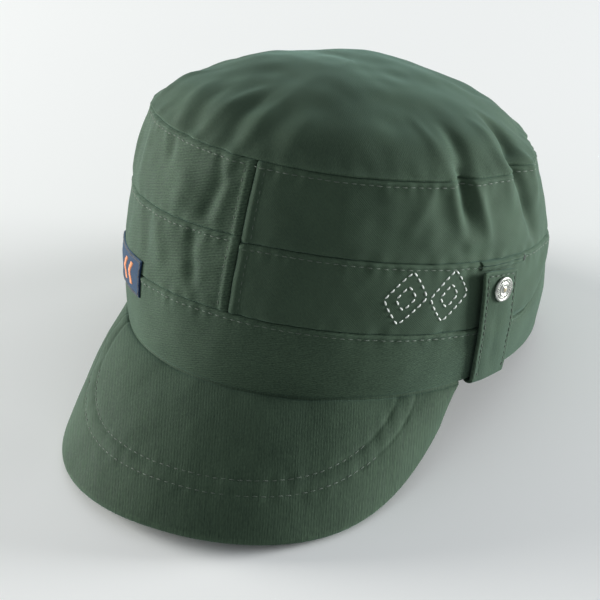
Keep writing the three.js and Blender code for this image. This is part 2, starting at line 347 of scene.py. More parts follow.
def mid_relief(deg, height):
    below = mid_seam(deg) - SEAM_GAP - height
    above = height - band_top(deg) - SEAM_GAP
    along = deg * MM_PER_DEGREE
    room = smooth(above + below, 1.5, 15)
    shape = curl(below) + room * (seam_below(below, along, 21) + seam_above(above, along, 22))
    puff = 1.3 * room * smooth(above, 0.5, 4) * (1 - smooth(above, 6, 16))
    edge = lerp(curl(above), curl(above, 1.05, 1.9) + puff, sweep_edge(deg))
    rise = height - level_height(TOP_SEAM, deg)
    soft = 0.75 * folds(deg, rise) * smooth(above, 1, 9) * (1 - smooth(np.abs(deg), 62, 72))
    soft = soft * smooth(below, -1, 5) + 0.8 * uneven(along, height, 23)
    return shape + edge + 0.8 * room * arched(above, below) + soft + front_seam(deg)


def band_relief(deg, height):
    below = band_top(deg) - SEAM_GAP - height
    along = deg * MM_PER_DEGREE
    lapped = sweep_edge(deg) * (1 - smooth(np.abs(deg), 119, 126))
    seamed = curl(below) + seam_below(below, along, 31)
    roll = 0.8 * (smooth(below, 0.2, 0.8) - smooth(below, 1.6, 2.2)) - bump(below, ROLL_GROOVE, 0.6)
    under = curl(below, 1.0, 1.7) + roll - 0.6 * (1 - smooth(below, 3.0, 9.0))
    foot = height - band_bottom(deg)
    soft = 0.6 * uneven(along, height, 33) * smooth(foot, 0, 6)
    return lerp(seamed, under, lapped) + 0.55 * arched(foot, below) + soft + curl(foot, 1.3, 1.0)

# ---- meshes

def new_object(name, verts, faces, material, weave=None, wear=None, sharp=50):
    """Object from upright points and lists of corners, with its cloth attributes."""
    mesh = bpy.data.meshes.new(name)
    mesh.from_pydata(to_frame(verts).tolist(), [], faces)
    mesh.validate()
    mesh.shade_smooth()
    mesh.set_sharp_from_angle(angle=math.radians(sharp))
    for label, kind, field, values in (("weave", "FLOAT_VECTOR", "vector", weave),
                                       ("wear", "FLOAT", "value", wear)):
        if values is not None:
            layer = mesh.attributes.new(label, kind, "POINT")
            layer.data.foreach_set(field, np.ascontiguousarray(values, dtype=np.float32).ravel())
    mesh.materials.append(material)
    piece = bpy.data.objects.new(name, mesh)
    bpy.context.scene.collection.objects.link(piece)
    return piece


def shell_faces(nu, nv, closed=False):
    """Quads of two nu by nv layers, outer first, joined round their edges."""
    i = np.arange(nu if closed else nu - 1)[:, None]
    j = np.arange(nv - 1)[None, :]
    k = (i + 1) % nu
    outer = np.stack([i * nv + j, k * nv + j, k * nv + j + 1, i * nv + j + 1], -1).reshape(-1, 4)
    size = nu * nv
    inner = outer[:, ::-1] + size
    low, low2 = i[:, 0] * nv, k[:, 0] * nv
    high, high2 = low + nv - 1, low2 + nv - 1
    rims = [np.stack([low, low + size, low2 + size, low2], -1),
            np.stack([high, high2, high2 + size, high + size], -1)]
    if not closed:
        start = np.arange(nv - 1)
        end = start + (nu - 1) * nv
        rims.append(np.stack([start, start + 1, start + 1 + size, start + size], -1))
        rims.append(np.stack([end, end + size, end + 1 + size, end + 1], -1))
    return np.vstack([outer, inner, *rims])


def shell(name, outer, inner, material, weave, wear, closed=False):
    """A sheet between two grids of points; only its outer face is worn."""
    nu, nv = outer.shape[:2]
    verts = np.concatenate([outer.reshape(-1, 3), inner.reshape(-1, 3)])
    both = np.concatenate([weave.reshape(-1, 3)] * 2)
    rubbed = np.concatenate([wear.ravel(), 0 * wear.ravel()])
    return new_object(name, verts, shell_faces(nu, nv, closed).tolist(), material, both, rubbed)


# Distances from an edge, in millimetres, at which a panel has a row of points.
EDGE = np.array([0, 0.1, 0.25, 0.45, 0.7, 1.0, 1.35, 1.75, 2.1, 2.5, 3.0, 3.6])


def wall_grid(deg, low, high, count):
    """Angles, heights and distances from the nearer edge, with more rows near both edges."""
    low, high = low[:, None], high[:, None]
    scale = np.minimum(1, (high - low) / 9)
    first, last = low + EDGE * scale, high - EDGE[::-1] * scale
    mid = lerp(first[:, -1:], last[:, :1], np.linspace(0, 1, count + 2)[1:-1])
    z = np.concatenate([first, mid, last], 1)
    return np.broadcast_to(deg[:, None], z.shape), z, np.minimum(z - low, high - z)


def graded(start, end, step, fine=(1, 1)):
    """Angles from start to end, close together near the ends in fine."""
    near = EDGE / SEAM_MM
    count = int((end - start) / step)
    body = np.linspace(start + near[-1] * fine[0], end - near[-1] * fine[1], count)
    parts = [start + near[:-1]] if fine[0] else []
    parts.append(body)
    if fine[1]:
        parts.append(end - near[:-1][::-1])
    return np.concatenate(parts)


def weave_field(u, v, heading):
    """Coordinate across the twill lines and along them, in millimetres."""
    turn = math.radians(heading)
    return np.stack([v * math.cos(turn) + u * math.sin(turn),
                     u * math.cos(turn) - v * math.sin(turn), 0 * u], -1)


def wall_panel(name, deg, low, high, relief, rows, heading, material, closed=False):
    """A tier of the wall between two seams, given as functions of the angle."""
    d, z, near = wall_grid(deg, low(deg), high(deg), rows)
    off = relief(d, z)
    weave = weave_field(d * MM_PER_DEGREE, z, heading)
    return shell(name, wall(d, z, off), wall(d, z, off - CLOTH), material, weave, np.exp(-near / 0.9), closed)


# ---- thread

def capsule(rings=5, sides=6):
    """A short thread along X, one unit long and one unit in radius, dipping at its ends."""
    verts, faces = [], []
    for x in np.linspace(-0.5, 0.5, rings):
        fat = math.sqrt(max(1 - (abs(x) * 2) ** 4, 0.12))
        for s in range(sides):
            turn = 2 * math.pi * s / sides
            verts.append((x, fat * math.cos(turn), fat * math.sin(turn), -(2 * x) ** 2))
    end = (rings - 1) * sides
    first, last = len(verts), len(verts) + 1
    verts += [(-0.5, 0, 0, -1), (0.5, 0, 0, -1)]
    for s in range(sides):
        t = (s + 1) % sides
        for r in range(0, end, sides):
            faces.append((r + s, r + sides + s, r + sides + t, r + t))
        faces += [(first, s, t, t), (last, end + t, end + s, end + s)]
    return np.array(verts), np.array(faces)


def resample(points, normals, pitch, gap):
    """Start, end and facing of each stitch along a line of points."""
    steps = np.linalg.norm(np.diff(points, axis=0), axis=1)
    run = np.concatenate([[0], np.cumsum(steps)])
    count = max(int(run[-1] / pitch), 1)
    starts = (np.arange(count) + 0.5) * run[-1] / count - (pitch - gap) / 2

    def take(at, values):
        return np.stack([np.interp(at, run, values[:, k]) for k in range(3)], -1)

    middles = starts + (pitch - gap) / 2
    return take(starts, points), take(starts + pitch - gap, points), take(middles, normals)


def thread_mesh(name, lines, material, radius=0.24, pitch=3.5, gap=0.9, dip=0.22, seed=5):
    """One mesh of separate stitches along each line of (points, normals)."""
    template, faces = capsule()
    rng = np.random.default_rng(seed)
    verts, quads, weave, total = [], [], [], 0
    t = template[None]
    for points, normals in lines:
        a, b, n = resample(points, normals, pitch, gap)
        slip = rng.normal(0, 0.07, (len(a), 3))
        a, b = a + slip, b + slip * 0.4
        length = np.linalg.norm(b - a, axis=1)[:, None, None]
        x = unit(b - a)
        n = unit(n - x * np.sum(n * x, 1)[:, None])
        y = np.cross(n, x)
        p = ((a + b) / 2)[:, None] + x[:, None] * t[..., 0:1] * length
        p = p + y[:, None] * t[..., 1:2] * radius + n[:, None] * (t[..., 2:3] * radius + t[..., 3:4] * dip)
        verts.append(p.reshape(-1, 3))
        quads.append((faces + (np.arange(len(a)) * len(template))[:, None, None]).reshape(-1, 4) + total)
        local = [t[..., 0:1] * length, t[..., 1:2] + 0 * length, 0 * length + 0 * t[..., :1]]
        weave.append(np.concatenate(local, -1).reshape(-1, 3))
        total += len(a) * len(template)
    quads = np.vstack(quads)
    tri = quads[:, 2] == quads[:, 3]
    corners = quads[~tri].tolist() + quads[tri][:, :3].tolist()
    return new_object(name, np.vstack(verts), corners, material, np.vstack(weave), None, 180)


def finish_piece(piece, *nodes, slot="olive_twill", body="cap"):
    """Give a piece its body, and hide the CAD nodes it stands for; the slot is not used."""
    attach(piece, body)
    if nodes:
        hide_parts(*nodes)


def sew(name, lines, material, slot="olive_twill", body="cap", **size):
    """Stitches that belong to the visual model only."""
    finish_piece(thread_mesh(name, lines, material, **size), slot=slot, body=body)


def wall_line(deg, height, relief, lift=0.12):
    """Points and normals along the wall, lifted off a relief."""
    return wall(deg, height, relief(deg, height) + lift), wall_normal(deg)


# ---- materials

class Graph:
    """Short hand for one material's nodes."""

    def __init__(self, name):
        self.material = bpy.data.materials.new(name)
        self.material.use_nodes = True
        self.tree = self.material.node_tree
        self.tree.nodes.clear()
        self.shader = self.tree.nodes.new("ShaderNodeBsdfPrincipled")
        output = self.tree.nodes.new("ShaderNodeOutputMaterial")
        self.tree.links.new(self.shader.outputs[0], output.inputs[0])

    def put(self, socket, value):
        if isinstance(value, bpy.types.NodeSocket):
            self.tree.links.new(value, socket)
        else:
            socket.default_value = value

    def node(self, kind, inputs, output=0, **settings):
        """Add a node and return one of its outputs."""
        node = self.tree.nodes.new("ShaderNode" + kind)
        for name, value in settings.items():
            setattr(node, name, value)
        for socket, value in inputs.items():
            self.put(node.inputs[socket], value)
        return node.outputs[output]

    def math(self, operation, *values):
        return self.node("Math", dict(enumerate(values)), operation=operation)

    def place(self):
        return self.node("TexCoord", {}, "Object")

    def attribute(self, name, output):
        return self.node("Attribute", {}, output, attribute_name=name)

    def split(self, vector):
        """The X and Y of a vector."""
        return self.node("SeparateXYZ", {0: vector}).node.outputs[:2]

    def scaled(self, vector, factors):
        return self.node("VectorMath", {0: vector, 1: factors}, operation="MULTIPLY")

    def noise(self, vector, scale, detail=2.0, roughness=0.5):
        inputs = {"Vector": vector, "Scale": scale, "Detail": detail, "Roughness": roughness}
        return self.node("TexNoise", inputs, "Fac")

    def mix(self, factor, a, b):
        return self.node("Mix", {"Factor": factor, "A": a, "B": b}, "Result", data_type="RGBA")

    def span(self, value, low, high, to_low, to_high):
        inputs = {"Value": value, "From Min": low, "From Max": high, "To Min": to_low, "To Max": to_high}
        return self.node("MapRange", inputs, "Result")

    def bumped(self, height, strength, distance):
        inputs = {"Strength": strength, "Distance": distance, "Height": height}
        self.tree.links.new(self.node("Bump", inputs), self.shader.inputs["Normal"])

    def set(self, **values):
        for name, value in values.items():
            self.put(self.shader.inputs[name.replace("_", " ")], value)


def rgb(r, g, b):
    return (r, g, b, 1.0)


SHEEN_TINT = rgb(0.52, 0.86, 0.76)
BLOTCH_SCALE = 34.0
BLOTCH_GAIN = 0.55
WEAR_GAIN = 0.55


def twill(name, dark, light, pitch=0.95, cross=1.5, lines=0.42, sheen=0.16, relief=0.55, ribs=1.0,
          speck=0.9):
    """Cotton twill: slanting lines of short floats, slubs, blotchy dye and rubbed edges.

    Pitch and cross are the spacing of the lines and of the floats along them, in
    millimetres; lines, ribs and speck say how strongly lines, ribs and flecks show.
    """
    g = Graph(name)
    weave = g.attribute("weave", "Vector")
    drift = g.noise(g.scaled(weave, (0.25, 0.12, 0.0)), 1.0, 2.0)
    x, y = g.split(weave)
    turn = g.math("MULTIPLY", g.math("MULTIPLY_ADD", drift, 1.1, x), 2 * math.pi / pitch)
    along = g.math("MULTIPLY_ADD", turn, 0.35, g.math("MULTIPLY", y, 2 * math.pi / cross))
    floats = g.math("MULTIPLY_ADD", g.math("SINE", along), 0.3 * ribs, 0.7 * ribs)
    fine = g.math("MULTIPLY", floats, g.math("SINE", turn))
    slub = g.noise(g.scaled(weave, (1.6, 0.16, 0.0)), 1.0, 3.0, 0.6)
    grain = g.noise(g.scaled(weave, (1.9, 0.9, 0.0)), 1.0, 2.0, 0.6)
    blotch = g.noise(g.place(), BLOTCH_SCALE, 3.0, 0.55)
    tone = g.math("MULTIPLY_ADD", fine, 0.16 * lines, 0.42)
    for part, gain in ((slub, 0.85 * lines), (grain, speck * lines), (blotch, BLOTCH_GAIN)):
        tone = g.math("MULTIPLY_ADD", g.math("SUBTRACT", part, 0.5), gain, tone)
    rubbed = g.math("MULTIPLY", g.attribute("wear", "Fac"), g.span(grain, 0.35, 0.7, 0.1, 0.75))
    tone = g.math("MULTIPLY_ADD", rubbed, WEAR_GAIN, tone)
    g.set(Base_Color=g.mix(tone, dark, light), Roughness=g.span(slub, 0.3, 0.7, 0.73, 0.87))
    g.set(Sheen_Weight=sheen, Sheen_Roughness=0.45, Sheen_Tint=SHEEN_TINT, Specular_IOR_Level=0.16)
    height = g.math("MULTIPLY_ADD", slub, 0.7, g.math("MULTIPLY_ADD", fine, 0.5, 0.5))
    g.bumped(g.math("MULTIPLY_ADD", grain, 0.5, height), relief, 0.00016)
    return g.material


def thread(name, dark, light, sheen=0.3):
    """Twisted thread: fine slanting lines along each stitch."""
    g = Graph(name)
    x, y = g.split(g.attribute("weave", "Vector"))
    ply = g.math("SINE", g.math("MULTIPLY_ADD", x, 9.0, g.math("MULTIPLY", y, 2.4)))
    tone = g.math("ADD", g.math("MULTIPLY_ADD", ply, 0.25, 0.1), g.noise(g.place(), 160.0))
    g.set(Base_Color=g.mix(tone, dark, light), Roughness=0.65, Sheen_Weight=sheen)
    g.bumped(ply, 0.5, 0.00008)
    return g.material


def steel(name, tint, dark, rough=0.3):
    """Plated metal: fine turning marks and a patchy dull haze."""
    g = Graph(name)
    place = g.place()
    haze = g.noise(place, 420.0, 3.0, 0.6)
    scratch = g.noise(g.scaled(place, (1.0, 9.0, 3.0)), 700.0)
    g.set(Base_Color=g.mix(g.span(haze, 0.35, 0.65, 0.0, 1.0), dark, tint), Metallic=1.0)
    g.set(Roughness=g.span(scratch, 0.3, 0.7, rough - 0.08, rough + 0.12))
    g.bumped(scratch, 0.2, 0.00003)
    return g.material


def board_card(name):
    """Pressed board: pale, fibrous and flecked."""
    g = Graph(name)
    fibre = g.noise(g.scaled(g.place(), (1.0, 0.35, 1.0)), 900.0, 3.0, 0.65)
    g.set(Base_Color=g.mix(fibre, rgb(0.42, 0.41, 0.37), rgb(0.72, 0.71, 0.66)), Roughness=0.7)
    g.bumped(fibre, 0.3, 0.00005)
    return g.material


def olive(name, **look):
    return twill(name, rgb(0.020, 0.036, 0.023), rgb(0.060, 0.097, 0.060), **look)


OLIVE = olive("olive_twill", pitch=0.62, cross=1.1, lines=0.5, ribs=0.7, speck=1.5)
OLIVE_RIBBED = olive("olive_twill_ribbed", pitch=1.15, cross=3.0, lines=1.35, relief=0.7, ribs=0.75,
                     speck=1.2)
OLIVE_BAND = olive("olive_twill_band", pitch=0.95, cross=2.4, lines=0.95, ribs=0.6, speck=1.5)
OLIVE_PEAK = olive("olive_twill_peak", pitch=1.15, cross=3.0, lines=1.15, sheen=0.14, ribs=0.4)
OLIVE_PLAIN = olive("olive_twill_fine", pitch=1.0, cross=1.3, lines=0.35)
LINING = twill("lining_twill", rgb(0.035, 0.046, 0.034), rgb(0.082, 0.105, 0.078), pitch=0.9, lines=0.4)
NAVY = twill("label_weave", rgb(0.009, 0.020, 0.055), rgb(0.026, 0.056, 0.13), pitch=0.5, cross=0.6,
             lines=0.4)
BLACK = twill("seam_tape_weave", rgb(0.008, 0.010, 0.011), rgb(0.030, 0.034, 0.035), pitch=0.7, lines=0.5)
OLIVE_THREAD = thread("olive_thread", rgb(0.030, 0.047, 0.032), rgb(0.080, 0.116, 0.080))
PEAK_THREAD = thread("peak_thread", rgb(0.026, 0.042, 0.028), rgb(0.072, 0.108, 0.074))
WHITE_THREAD = thread("white_thread", rgb(0.50, 0.54, 0.50), rgb(0.92, 0.94, 0.90), 0.15)
ORANGE_THREAD = thread("orange_thread", rgb(0.50, 0.10, 0.02), rgb(0.95, 0.38, 0.12))
# Black thread for the label, bar tack and pile stitches; also the painted shadow line along the sweep edge.
BLACK_THREAD_AND_SHADOW = thread("black_thread_and_shadow_line", rgb(0.008, 0.009, 0.009), rgb(0.03, 0.032, 0.03))
SILVER = steel("snap_silver", rgb(0.62, 0.63, 0.59), rgb(0.36, 0.37, 0.34))
BRASS = steel("snap_centre", rgb(0.56, 0.49, 0.34), rgb(0.34, 0.29, 0.20))
BOARD = board_card("stiffener_board")

# ---- crown

def crown_points(deg, r, drop, off):
    """Points and normals of the crown: angle, radius fraction, drop down its rim and relief."""
    a, b, c = LEVELS[TOP_SEAM, :3]
    turn = np.radians(deg)
    z = lerp(level_mean(TOP_SEAM), level_height(TOP_SEAM, deg), r)
    z = z + CROWN_RISE * (1 - r ** CROWN_POWER) - drop
    p = np.stack([a * r * np.sin(turn), c - b * r * np.cos(turn), z], -1)
    slope = CROWN_RISE * CROWN_POWER * r ** (CROWN_POWER - 1) / CROWN_SLOPE
    out = wall_normal(deg)
    dome = unit(np.stack([out[..., 0] * slope, out[..., 1] * slope, 1 + 0 * slope], -1))
    facing = unit(lerp(out, dome, smooth(1 - r, 0.0, 0.12)[..., None]))
    return p + facing * off[..., None], facing


def crown_relief(deg, r):
    """Folds, the swell above the seam, its puckers and the soft unevenness of the top."""
    rise = (1 - r) * CROWN_SLOPE
    turn = np.radians(deg)
    x, y = 83 * r * np.sin(turn), 81 * r * np.cos(turn)
    along = deg * TOP_MM
    puff = 1.7 * bump(rise, 13, 10)
    ripple = 0.28 * waves(along, 0 * along, 9, 42, 9) * bump(rise, 2, 5) * smooth(rise, 0, 2)
    edge = (seam_above(rise, along, 41) + ripple) * smooth(180 - np.abs(deg), 0, 12)
    soft = 0.5 * waves(x, y, 42, 43) + 0.12 * waves(x, y, 15, 44)
    return folds(deg, rise) + puff + edge + soft * (1 - 0.8 * bump(rise, 0, 9))


# Where the crown's rim turns down into the seam: drop and tuck of each row of points.
RIM_DROPS = np.array([1.0, 0.98, 0.9, 0.75, 0.5, 0.25])
RIM_TUCKS = np.array([-1.1, -0.75, -0.4, -0.18, -0.06, -0.01])


def build_crown():
    deg = np.linspace(-180, 180, 721)[:-1]
    rise = np.concatenate([[0, 0.3, 0.7, 1.2, 1.8, 2.5, 3.3, 4.2], np.linspace(5.2, 80.5, 66)])
    r = 1 - np.concatenate([0 * RIM_DROPS, rise]) / CROWN_SLOPE
    drop = np.concatenate([RIM_DROPS, 0 * rise])
    tuck = np.concatenate([RIM_TUCKS, 0 * rise])
    d, rr = np.meshgrid(deg, r, indexing="ij")
    outer, facing = crown_points(d, rr, drop + 0 * d, crown_relief(d, rr) + tuck)
    inner = outer - facing * CLOTH
    nu, nv = rr.shape
    size = nu * nv
    faces = shell_faces(nu, nv, True)
    faces = faces[~np.all(faces % nv == nv - 1, axis=1)].tolist()
    # Both faces close on a point in the middle of the crown.
    poles = np.stack([outer[:, -1].mean(0), inner[:, -1].mean(0)])
    ring = np.arange(nu) * nv + nv - 1
    pairs = list(zip(ring.tolist(), np.roll(ring, -1).tolist()))
    faces += [[a, b, 2 * size] for a, b in pairs]
    faces += [[b + size, a + size, 2 * size + 1] for a, b in pairs]
    weave = weave_field(outer[..., 0], outer[..., 1], 90).reshape(-1, 3)
    weave = np.concatenate([weave, weave, weave_field(poles[:, 0], poles[:, 1], 90)])
    rub = np.exp(-((1 - rr) * CROWN_SLOPE + drop) / 1.2).ravel()
    rub = np.concatenate([rub, 0 * rub, [0, 0]])
    verts = np.concatenate([outer.reshape(-1, 3), inner.reshape(-1, 3), poles])
    piece = new_object("crown_cloth", verts, faces, OLIVE, weave, rub)
    finish_piece(piece, "crown_top")


build_crown()

# ---- tiers of the wall

SEAM_HALF = 0.06
TIER_END = 119.5
HEADINGS = {"left": 42, "right": -18}
BAND_HEADING = -14
TIER_CLOTH = {"left": OLIVE, "right": OLIVE_RIBBED}


def top_seam_line(deg, down=0.0):
    return level_height(TOP_SEAM, deg) - TOP_DROP - down


def build_tiers():
    for side, sign in SIDES:
        look = (HEADINGS[side], TIER_CLOTH[side])
        deg = graded(SEAM_HALF, 180 - SEAM_HALF, 0.6)[::sign] * sign
        piece = wall_panel(f"upper_cloth_{side}", deg, lambda d: mid_seam(d) + SEAM_GAP, top_seam_line,
                           upper_relief, 28, *look)
        finish_piece(piece, f"upper_{side}_panel")
        deg = graded(SEAM_HALF, TIER_END, 0.6, (1, 0))[::sign] * sign
        piece = wall_panel(f"mid_cloth_{side}", deg, lambda d: band_top(d) + SEAM_GAP,
                           lambda d: mid_seam(d) - SEAM_GAP, mid_relief, 22, *look)
        finish_piece(piece, f"mid_{side}_panel")
    phi = np.radians(np.linspace(0, 180, 181))
    arch = 180 - ARCH_HALF * np.cos(phi)
    front = np.linspace(-145, 145, 485)[1:-1]
    deg = np.concatenate([arch[phi > math.pi / 2] - 360, front, arch[phi <= math.pi / 2]])
    piece = wall_panel("band_cloth", deg, band_bottom, lambda d: band_top(d) - SEAM_GAP, band_relief, 22,
                       BAND_HEADING, OLIVE_BAND, closed=True)
    finish_piece(piece, "lower_band")


build_tiers()


def wall_stitches():
    front = np.linspace(-179.5, 179.5, 1200)
    lines = [wall_line(front, top_seam_line(front, STITCH_IN), upper_relief)]
    for fore in (np.linspace(-113, -0.8, 450), np.linspace(0.8, 113, 450)):
        lines.append(wall_line(fore, mid_seam(fore) - STITCH_IN, mid_relief))
    for low, high in ((118.5, 180), (-180, -118.5)):
        back = np.linspace(low, high, 300)
        lines.append(wall_line(back, level_height(MID_SEAM, back) - STITCH_IN, band_relief))
    seam = np.linspace(-80, 80, 650)
    lines.append(wall_line(seam, level_height(BAND_SEAM, seam) - STITCH_IN, band_relief))
    t = np.linspace(0, 1, 120)
    for sign in (1, -1):
        for edge in (FRONT_STITCH / SEAM_MM, 180 - FRONT_STITCH / 1.8):
            d = edge * sign + 0 * t
            lines.append(wall_line(d, lerp(mid_seam(d) + 1.4, top_seam_line(d, 2.8), t), upper_relief))
        d = FRONT_STITCH / SEAM_MM * sign + 0 * t
        z = lerp(level_height(BAND_SEAM, d) + 1.2, mid_seam(d) - 3.6, t)
        lines.append(wall_line(d, z, mid_relief))
    sew("wall_topstitch", lines, OLIVE_THREAD, radius=0.23)
    # Black stitches, almost unbroken, along the groove of the rolled sweep edge: a painted shadow line for
    # the dark gap under the mid panel's lapped edge.
    lines = []
    for sign in (1, -1):
        swept = np.linspace(81, 117, 220) * sign
        lines.append(wall_line(swept, band_top(swept) - ROLL_GROOVE, band_relief, 0.1))
    sew("sweep_painted_shadow_line", lines, BLACK_THREAD_AND_SHADOW, pitch=2.8, gap=0.3, dip=0.1, seed=19)


wall_stitches()

# ---- motif of white running stitch

# Middle angle and height, half width and half height, and slant of each lozenge.
LOZENGES = [(46.0, 43.8, 9.3, 10.8, 0.16), (58.4, 42.9, 9.0, 10.6, 0.16)]
LOZENGE_POWER = 1.8


def motif_stitches():
    lines = []
    turn = np.linspace(0, 2 * math.pi, 200)
    across, up = (np.sign(f(turn)) * np.abs(f(turn)) ** LOZENGE_POWER for f in (np.cos, np.sin))
    for deg0, z0, half_u, half_v, slant in LOZENGES:
        for size in (1.0, 0.46):
            v = up * half_v * size
            deg = deg0 + (across * half_u * size + slant * v) / MM_PER_DEGREE
            lines.append(wall_line(deg, z0 + v, mid_relief, 0.2))
    sew("motif_stitch", lines, WHITE_THREAD, radius=0.36, pitch=3.1, gap=0.95, dip=0.3, seed=8)


motif_stitches()

# ---- peak

PEAK_ROWS = (19.5, 26.0)
PEAK_RADIUS = 1.85
PEAK_HEADING = 28.4
UNDER_HEADING = 36.87
COVER_THICK = 0.8
UNDER_FACE = 2.85
SIDE_ROUND = 0.55
ROOT_GROOVE = 0.7
# The cover from root to rim, round the rim, and where it is tucked up inside the band.
PEAK_FLAT = np.linspace(0, 1, 70)
PEAK_ARC = np.radians(np.linspace(90, -62, 12))
TUCK_UP = np.array([2.6, 2.0, 1.3, 0.7, 0.2])
TUCK_OUT = np.array([-1.35, -1.35, -1.3, -1.15, -0.85])


def peak_edge(phi):
    s, c = np.sin(np.radians(phi)), np.abs(np.cos(np.radians(phi)))
    fullness = 1 + 0.07 * np.sin(np.radians(2 * phi)) ** 2
    x = np.sign(s) * np.abs(s) ** 0.88 * LEVELS[HEM, 0] * math.sin(math.radians(PEAK_END)) * fullness
    y = -LEVELS[HEM, 1] * math.cos(math.radians(PEAK_END)) - PEAK_REACH * c ** 0.88
    z = -PEAK_DROP * (1 - (np.abs(phi) / 90) ** 4) ** 0.7
    return np.stack([x, y, z], -1)


def peak_root(phi):
    p = wall(PEAK_END * np.sin(np.radians(phi)), 0.0, PEAK_END_OUT * (phi / 90) ** 2 - GAP)
    p[..., 2] = -GAP
    return p


def peak_length(phi):
    return np.linalg.norm(peak_edge(phi) - peak_root(phi), axis=-1)


def peak_surface(phi, t):
    """Upper face of the peak, from its root at t = 0 to its edge at t = 1."""
    p = lerp(peak_root(phi), peak_edge(phi), t[..., None])
    rise = PEAK_BULGE * 4 * t * (1 - t) * np.minimum(peak_length(phi) / 60, 1)
    return p + np.stack([0 * rise, 0 * rise, rise], -1)


def peak_normal(phi, t):
    along = peak_surface(phi, t + 0.01) - peak_surface(phi, t - 0.01)
    across = peak_surface(phi + 0.3, t) - peak_surface(phi - 0.3, t)
    return unit(np.cross(along, across))


def edge_distance(points):
    """Distance from each point of the peak to its edge."""
    edge = peak_edge(np.linspace(-89.5, 89.5, 500))
    flat = points.reshape(-1, 3)
    chunks = [flat[k:k + 4000, None] - edge for k in range(0, len(flat), 4000)]
    return np.concatenate([np.sqrt((gap ** 2).sum(-1)).min(1) for gap in chunks]).reshape(points.shape[:-1])


def peak_relief(points):
    """Stitch channels of the peak with their puckers, and its soft unevenness."""
    near = edge_distance(points)
    x, y = points[..., 0], points[..., 1]
    pucker = 0.13 * waves(x, y, 7, 51) * sum(bump(near, row, 3) for row in PEAK_ROWS)
    rows = sum(-0.3 * bump(near, row, 0.7) for row in PEAK_ROWS)
    between = 0.22 * bump(near, sum(PEAK_ROWS) / 2, 2.2)
    soft = 0.22 * waves(x, y, 34, 52) + 0.05 * waves(x, y, 10, 53)
    return rows + pucker + between + soft * smooth(near, 0, 6)


def peak_columns(count):
    """Angles across the peak, close together near its ends."""
    s = np.linspace(1, -1, count)
    return 84 * (1.25 * s - 0.25 * s ** 3)


def peak_sheet(phi, depth):
    """One face of the cover: tucked in at the band, over the top, round the rim and the sides."""
    column, length = phi[:, None], peak_length(phi)[:, None]
    radius = PEAK_RADIUS - depth
    reach = np.minimum(PEAK_RADIUS, length * 0.3)
    p, f = np.broadcast_arrays(column, PEAK_FLAT * (1 - reach / length))
    base, n = peak_surface(p, f), peak_normal(p, f)
    relief = (0 if depth else peak_relief(base)) - ROOT_GROOVE * np.exp(-f * length / 1.3)
    face = base + n * (relief - depth)[..., None]
    from_edge = reach - radius * np.cos(PEAK_ARC[1:]) * (reach / PEAK_RADIUS)
    t = np.clip(1 - from_edge / length, 0.0, 1.2)
    rim_n = peak_normal(column + 0 * t, np.clip(t, 0, 1))
    rim = peak_surface(column + 0 * t, t) - rim_n * (PEAK_RADIUS - radius * np.sin(PEAK_ARC[1:]))[:, None]
    out = TUCK_OUT + PEAK_END_OUT * (column / 90) ** 2 * (1 - TUCK_UP / 4) - depth
    tuck = wall(PEAK_END * np.sin(np.radians(column)), TUCK_UP, out)
    tuck[..., 2] = TUCK_UP
    sheet = np.concatenate([tuck, face, rim], 1)
    facing = np.concatenate([n[:, :1] + 0 * tuck, n, n[:, -1:] + 0 * rim], 1)
    # Extra columns that turn down round both sides, fading out where the rim itself turns.
    turned = 0.5 * (1 + np.sin(PEAK_ARC[1:]))
    hold = np.concatenate([0 * TUCK_UP, smooth(PEAK_FLAT, 0, 0.04), turned])[:, None]
    down = (radius - radius * np.sin(PEAK_ARC))[1:, None, None] * hold
    aside = (SIDE_ROUND * radius * np.cos(PEAK_ARC))[1:, None, None] * hold
    first, last = (sheet[k] - facing[k] * down + unit(sheet[k] - sheet[near]) * aside
                   for k, near in ((0, 3), (-1, -4)))
    return np.concatenate([first[::-1], sheet, last], 0)


def build_peak():
    phi = peak_columns(261)
    outer = peak_sheet(phi, 0.0)
    inner = peak_sheet(phi, COVER_THICK)
    weave = weave_field(outer[..., 1], outer[..., 0], PEAK_HEADING) * (1, -1, 1)
    rim_wear = np.concatenate([0 * TUCK_UP, 0 * PEAK_FLAT, 0.8 + 0 * PEAK_ARC[1:]])
    wear = np.maximum(rim_wear, 0.6 * np.exp(-edge_distance(outer) / 1.5))
    piece = shell("peak_cloth", outer, inner, OLIVE_PEAK, weave, wear)
    finish_piece(piece, "peak_top_cover")

    column = peak_columns(221)[3:-3, None]
    length = peak_length(column)
    rows = np.linspace(0, 1, 44) * (1 - np.minimum(1.35, length * 0.25) / length)
    p, t = np.broadcast_arrays(column, rows)
    base, n = peak_surface(p, t), peak_normal(p, t)
    near = edge_distance(base)
    bow = sum(0.25 * bump(near, row, 0.7) for row in PEAK_ROWS)
    bow = bow + 0.16 * waves(base[..., 0], base[..., 1], 26, 54)
    tuck = 0.7 * np.exp(-np.maximum(near - 1.3, 0) / 0.5)
    under = base - n * (PEAK_THICK - bow * 0.6 - tuck)[..., None]
    weave = weave_field(under[..., 1], under[..., 0], UNDER_HEADING)
    piece = shell("peak_under_cloth", base - n * UNDER_FACE, under, OLIVE_PLAIN, weave, 0 * near)
    finish_piece(piece, "peak_underside")


def peak_row(distance, depth, facing):
    """The line of the peak that runs a set distance inside its edge."""
    phi = np.linspace(-83, 83, 420)
    t = np.linspace(0, 1, 160)
    near = edge_distance(peak_surface(*np.meshgrid(phi, t, indexing="ij")))
    inside = near[:, 0] > distance + 1.2
    phi = phi[inside]
    cross = np.array([np.interp(-distance, -row, t) for row in near[inside]])
    normals = peak_normal(phi, cross)
    points = peak_surface(phi, cross) - normals * depth
    if facing > 0:
        points = points + normals * peak_relief(points)[:, None]
    return points, normals * facing


